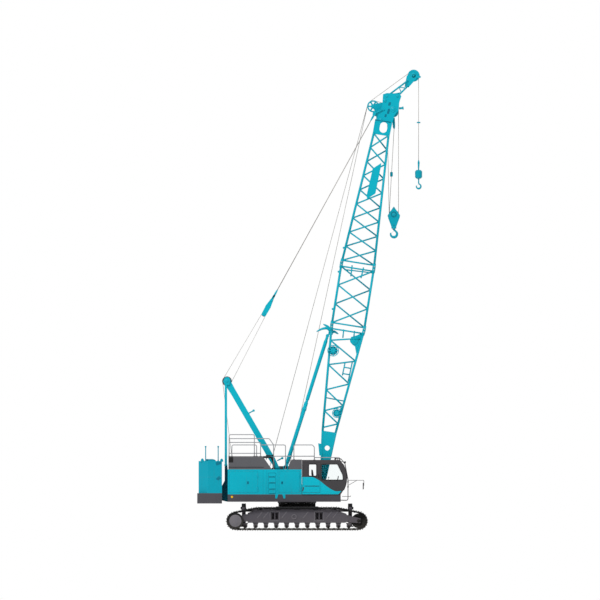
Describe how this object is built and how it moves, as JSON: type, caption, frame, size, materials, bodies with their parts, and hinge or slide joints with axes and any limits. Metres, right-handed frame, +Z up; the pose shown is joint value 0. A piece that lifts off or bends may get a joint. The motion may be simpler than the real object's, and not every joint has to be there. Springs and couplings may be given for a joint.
{
  "type": "crawler crane",
  "caption": "Crawler crane with a lattice boom stayed by pendants from a gantry, slewing works with a cab and counterweight, and two hooks.",
  "frame": {"origin": "on the ground, on the slewing axis", "axes": "+X forward, the way the boom points; +Y left; +Z up"},
  "size_m": [10.8653, 5.214, 22.2759],
  "materials": {
    "turquoise": "semi-gloss turquoise enamel",
    "dark_grey": "satin dark grey enamel",
    "track_grey": "satin grey enamel",
    "running_gear": "satin light grey enamel",
    "shoes": "bare rolled steel, nearly black",
    "rails": "light grey paint on tubes",
    "rope": "greased wire rope",
    "drum": "grey paint and rope",
    "glass": "clear tinted glass",
    "seat": "dark woven seat cloth",
    "console": "black plastic",
    "engine": "cast iron block"
  },
  "bodies": {
    "undercarriage": {"carbody": "track_grey", "slewing_ring": "track_grey", "crawler_frame_right": "track_grey", "crawler_frame_left": "track_grey", "track_right": "shoes", "track_left": "shoes", "sprockets": "running_gear", "idlers": "running_gear", "rollers": "running_gear"},
    "upper_works": {"revolving_frame": "dark_grey", "housing_right": "turquoise", "housing_left": "turquoise", "hoods": "dark_grey", "air_cleaner_cover": "dark_grey", "engine": "engine", "counterweight_base": "dark_grey", "counterweight_lower": "turquoise", "counterweight_upper": "turquoise", "cab_shell": "dark_grey", "cab_glass": "glass", "operator_seat": "seat", "control_consoles": "console", "mirror_stay": "dark_grey", "guard_rails": "rails", "gantry_legs": "turquoise", "gantry_links": "turquoise"},
    "cab_door_leaf": {"cab_door": "dark_grey"},
    "rear_door_right_leaf": {"rear_door_right": "turquoise"},
    "rear_door_left_leaf": {"rear_door_left": "turquoise"},
    "front_door_right_leaf": {"front_door_right": "turquoise"},
    "front_door_left_leaf": {"front_door_left": "turquoise"},
    "front_winch": {"front_drum": "drum"},
    "rear_winch": {"rear_drum": "drum"},
    "luffing_winch": {"luffing_drum": "drum"},
    "gantry_sheave_set": {"gantry_sheaves": "turquoise"},
    "boom": {"boom_base": "turquoise", "boom_insert": "turquoise", "boom_tip": "turquoise", "aux_jib": "turquoise", "cable_reels": "turquoise"},
    "head_sheave_set": {"head_sheaves": "turquoise"},
    "guide_sheave_wheel": {"guide_sheave": "turquoise"},
    "aux_sheave_wheel": {"aux_sheave": "turquoise"},
    "luffing_falls": {"luffing_ropes": "rope"},
    "stays": {"bridle": "turquoise", "pendants": "rope"},
    "bridle_sheave_set": {"bridle_sheaves": "turquoise"},
    "backstop_lower": {"backstop_tubes": "turquoise"},
    "backstop_upper": {"backstop_rods": "turquoise"},
    "main_rope": {"main_falls": "rope"},
    "main_hook_block": {"main_block": "turquoise"},
    "main_block_sheave_set": {"main_block_sheaves": "turquoise"},
    "main_hook_swivel": {"main_hook": "turquoise"},
    "aux_rope": {"aux_falls": "rope"},
    "aux_weight": {"aux_ball": "turquoise"},
    "aux_hook_swivel": {"aux_hook": "turquoise"}
  },
  "joints": [
    {"name": "slewing", "type": "hinge", "parent": "undercarriage", "child": "upper_works", "pos_m": [0, 0, 1.335], "axis": [0, 0, 1], "continuous": true},
    {"name": "boom_luff", "type": "hinge", "parent": "upper_works", "child": "boom", "pos_m": [1.233, 0, 2.271], "axis": [0, 1, 0], "range_deg": [0, 51]},
    {"name": "cab_door_swing", "type": "hinge", "parent": "upper_works", "child": "cab_door_leaf", "pos_m": [0.29, -1.654, 2.57], "axis": [0, 0, -1], "range_deg": [0, 90]},
    {"name": "rear_door_right_swing", "type": "hinge", "parent": "upper_works", "child": "rear_door_right_leaf", "pos_m": [-1.9, -1.614, 2.365], "axis": [0, 0, 1], "range_deg": [0, 90]},
    {"name": "rear_door_left_swing", "type": "hinge", "parent": "upper_works", "child": "rear_door_left_leaf", "pos_m": [-1.9, 1.614, 2.365], "axis": [0, 0, -1], "range_deg": [0, 90]},
    {"name": "front_door_right_swing", "type": "hinge", "parent": "upper_works", "child": "front_door_right_leaf", "pos_m": [0.13, -1.614, 2.365], "axis": [0, 0, 1], "range_deg": [0, 90]},
    {"name": "front_door_left_swing", "type": "hinge", "parent": "upper_works", "child": "front_door_left_leaf", "pos_m": [0.13, 1.614, 2.365], "axis": [0, 0, -1], "range_deg": [0, 90]},
    {"name": "front_drum_turn", "type": "hinge", "parent": "upper_works", "child": "front_winch", "pos_m": [-0.85, 0, 2.4], "axis": [0, 1, 0], "continuous": true},
    {"name": "rear_drum_turn", "type": "hinge", "parent": "upper_works", "child": "rear_winch", "pos_m": [-1.8, 0, 2.5], "axis": [0, 1, 0], "continuous": true},
    {"name": "luffing_drum_turn", "type": "hinge", "parent": "upper_works", "child": "luffing_winch", "pos_m": [-2.75, 0, 2.25], "axis": [0, 1, 0], "continuous": true},
    {"name": "gantry_sheaves_turn", "type": "hinge", "parent": "upper_works", "child": "gantry_sheave_set", "pos_m": [-3.381, 0, 7.226], "axis": [0, 1, 0], "continuous": true},
    {"name": "head_sheaves_turn", "type": "hinge", "parent": "boom", "child": "head_sheave_set", "pos_m": [4.62738, 0, 20.25036], "axis": [0, 1, 0], "continuous": true},
    {"name": "guide_sheave_turn", "type": "hinge", "parent": "boom", "child": "guide_sheave_wheel", "pos_m": [3.67624, 0, 20.50326], "axis": [0, 1, 0], "continuous": true},
    {"name": "aux_sheave_turn", "type": "hinge", "parent": "boom", "child": "aux_sheave_wheel", "pos_m": [5.6363, 0, 21.98589], "axis": [0, 1, 0], "continuous": true},
    {"name": "luffing_falls_swing", "type": "hinge", "parent": "upper_works", "child": "luffing_falls", "pos_m": [-3.381, 0, 7.226], "axis": [0, 1, 0], "range_deg": [0, 48.92]},
    {"name": "stay_run", "type": "slide", "parent": "luffing_falls", "child": "stays", "axis": [0.4832, 0, 0.8755], "range_m": [0, 5.79522]},
    {"name": "bridle_sheaves_turn", "type": "hinge", "parent": "stays", "child": "bridle_sheave_set", "pos_m": [-1.5932, 0, 10.46541], "axis": [0, 1, 0], "continuous": true},
    {"name": "backstop_swing", "type": "hinge", "parent": "upper_works", "child": "backstop_lower", "pos_m": [-0.546, 0, 3.06], "axis": [0, 1, 0], "range_deg": [0, 47.18]},
    {"name": "backstop_run", "type": "slide", "parent": "backstop_lower", "child": "backstop_upper", "axis": [0.3029, 0, 0.953], "range_m": [0, 1.60072]},
    {"name": "main_rope_swing", "type": "hinge", "parent": "boom", "child": "main_rope", "pos_m": [4.62738, 0, 20.25036], "axis": [0, 1, 0], "range_deg": [-51, 0]},
    {"name": "main_hoist", "type": "slide", "parent": "main_rope", "child": "main_hook_block", "axis": [0, 0, -1], "range_m": [0, 4.4]},
    {"name": "main_block_sheaves_turn", "type": "hinge", "parent": "main_hook_block", "child": "main_block_sheave_set", "pos_m": [4.67738, 0, 15.277], "axis": [0, 1, 0], "continuous": true},
    {"name": "main_hook_turn", "type": "hinge", "parent": "main_hook_block", "child": "main_hook_swivel", "pos_m": [4.67738, 0, 14.6], "axis": [0, 0, 1], "continuous": true},
    {"name": "aux_rope_swing", "type": "hinge", "parent": "boom", "child": "aux_rope", "pos_m": [5.6363, 0, 21.98589], "axis": [0, 1, 0], "range_deg": [-51, 0]},
    {"name": "aux_hoist", "type": "slide", "parent": "aux_rope", "child": "aux_weight", "axis": [0, 0, -1], "range_m": [0, 5]},
    {"name": "aux_hook_turn", "type": "hinge", "parent": "aux_weight", "child": "aux_hook_swivel", "pos_m": [5.8723, 0, 17.01], "axis": [0, 0, 1], "continuous": true}
  ],
  "couplings": [
    {"joint": "luffing_falls_swing", "follows": "boom_luff", "ratio": 0.95928},
    {"joint": "stay_run", "follows": "boom_luff", "m_per_rad": 6.5106},
    {"joint": "backstop_swing", "follows": "boom_luff", "ratio": 0.92509},
    {"joint": "backstop_run", "follows": "boom_luff", "m_per_rad": 1.7983},
    {"joint": "main_rope_swing", "follows": "boom_luff", "ratio": -1},
    {"joint": "aux_rope_swing", "follows": "boom_luff", "ratio": -1}
  ]
}
